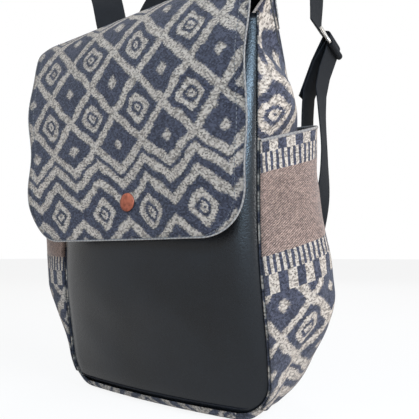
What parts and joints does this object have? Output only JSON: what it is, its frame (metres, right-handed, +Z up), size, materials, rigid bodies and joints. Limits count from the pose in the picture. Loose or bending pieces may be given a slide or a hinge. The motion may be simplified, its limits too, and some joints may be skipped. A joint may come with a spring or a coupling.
{
  "type": "backpack",
  "caption": "Soft day backpack with snap flap, side slip pockets, webbing shoulder straps with sliders, and a grab handle.",
  "frame": {"origin": "middle of the bag's flat underside", "axes": "+Z up towards the grab handle, -Y towards the front flap, +X towards the bag's right side as seen from the front"},
  "size_m": [0.3617, 0.2049, 0.5197],
  "materials": {
    "leather": "fine grained, soft sheen",
    "patterned_fabric": "ribbed jacquard weave",
    "lining": "plain matt weave",
    "webbing": "dense flat webbing",
    "nickel": "polished nickel plate",
    "copper": "brushed antique copper plate"
  },
  "bodies": {
    "root": {"front_panel": "leather", "back_panel": "leather", "side_gusset_right": "patterned_fabric", "side_gusset_left": "patterned_fabric", "side_pocket_right": "patterned_fabric", "side_pocket_left": "patterned_fabric", "bottom_panel": "patterned_fabric", "lining": "lining", "flap": "patterned_fabric", "flap_lining": "lining", "snap_cap": "copper", "snap_socket": "copper", "snap_stud": "copper", "shoulder_strap_right": "webbing", "shoulder_strap_left": "webbing", "ring_tab_right": "leather", "ring_tab_left": "leather", "grab_handle": "webbing", "strap_anchor_band": "leather"},
    "slider_right": {"slider_right": "nickel"},
    "slider_left": {"slider_left": "nickel"},
    "ring_right": {"ring_right": "nickel"},
    "ring_left": {"ring_left": "nickel"}
  },
  "joints": [
    {"name": "slider_right_slide", "type": "slide", "parent": "root", "child": "slider_right", "axis": [0, 0, 1], "range_m": [-0.03, 0.02], "deforming": ["shoulder_strap_right"]},
    {"name": "slider_left_slide", "type": "slide", "parent": "root", "child": "slider_left", "axis": [0, 0, 1], "range_m": [-0.03, 0.02], "deforming": ["shoulder_strap_left"]},
    {"name": "ring_right_swing", "type": "hinge", "parent": "root", "child": "ring_right", "pos_m": [0.093, 0.0634, 0.072], "axis": [1, 0, 0], "range_deg": [-30, 8], "deforming": ["shoulder_strap_right"]},
    {"name": "ring_left_swing", "type": "hinge", "parent": "root", "child": "ring_left", "pos_m": [-0.093, 0.0634, 0.072], "axis": [1, 0, 0], "range_deg": [-30, 8], "deforming": ["shoulder_strap_left"]}
  ]
}
